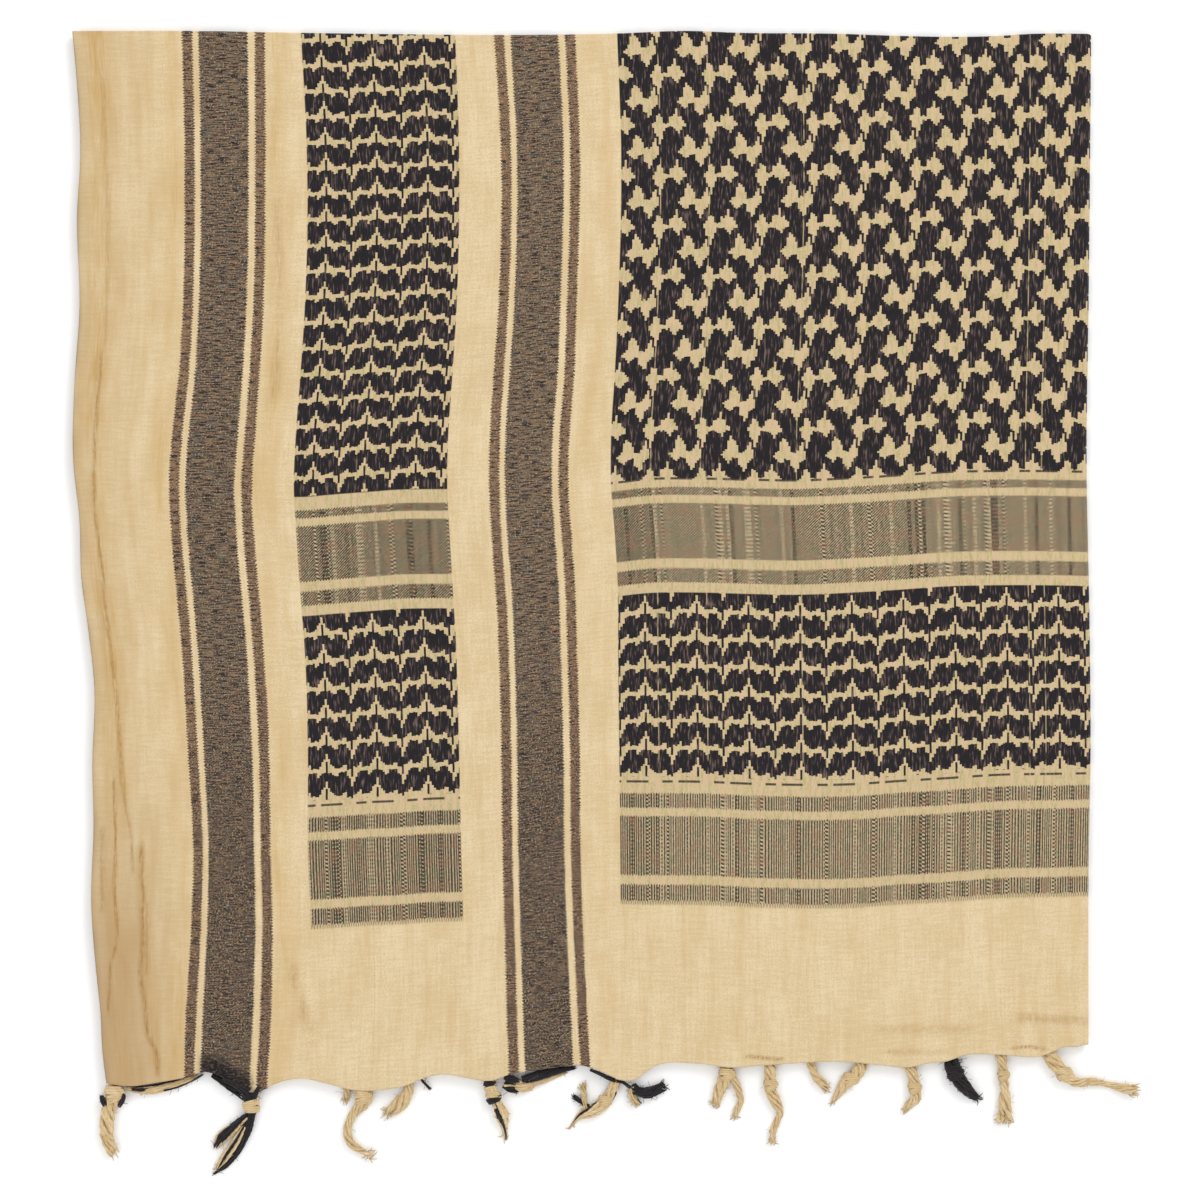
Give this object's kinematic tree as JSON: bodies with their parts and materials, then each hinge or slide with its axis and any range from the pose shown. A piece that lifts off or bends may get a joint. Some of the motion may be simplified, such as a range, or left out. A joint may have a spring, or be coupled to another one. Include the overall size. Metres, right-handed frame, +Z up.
{
  "type": "keffiyeh headscarf",
  "caption": "Square cotton keffiyeh headscarf with hook and leaf pattern, striped borders and knotted tassels, folded in quarters and lying flat.",
  "frame": {"origin": "centre of the whole outline, tassels included, on the underside that lies on the table", "axes": "+X from the selvages to the side fold, +Y from the fringed hem to the top fold, +Z up off the table"},
  "size_m": [0.5614, 0.6022, 0.0072],
  "materials": {
    "patterned_cloth": "matt woven cotton, cream with near-black woven hook, leaf and stripe patterns",
    "cream_yarn": "matt cream cotton yarn, knotted and twisted",
    "black_yarn": "matt near-black cotton yarn",
    "mixed_yarn": "matt cream and near-black cotton yarns twisted together"
  },
  "bodies": {
    "root": {"top_layer": "patterned_cloth", "hidden_layers": "patterned_cloth", "tassel_01_selvage": "cream_yarn", "tassel_02_black": "black_yarn", "tassel_03_cream": "cream_yarn", "tassel_04_under": "cream_yarn", "tassel_05_under": "cream_yarn", "tassel_06_mixed": "mixed_yarn", "tassel_07_mixed": "mixed_yarn", "tassel_08_black": "black_yarn", "tassel_09_split": "cream_yarn", "tassel_10_long": "cream_yarn", "tassel_11_under": "cream_yarn", "tassel_12_cream": "cream_yarn", "tassel_13_cream": "cream_yarn", "tassel_14_black": "black_yarn", "tassel_15_flared": "cream_yarn", "tassel_16_corner": "cream_yarn", "hem_roll_01_twisted": "mixed_yarn", "hem_roll_02_black": "black_yarn", "hem_roll_03_twisted": "mixed_yarn", "hem_roll_04_strand": "black_yarn"}
  },
  "joints": []
}
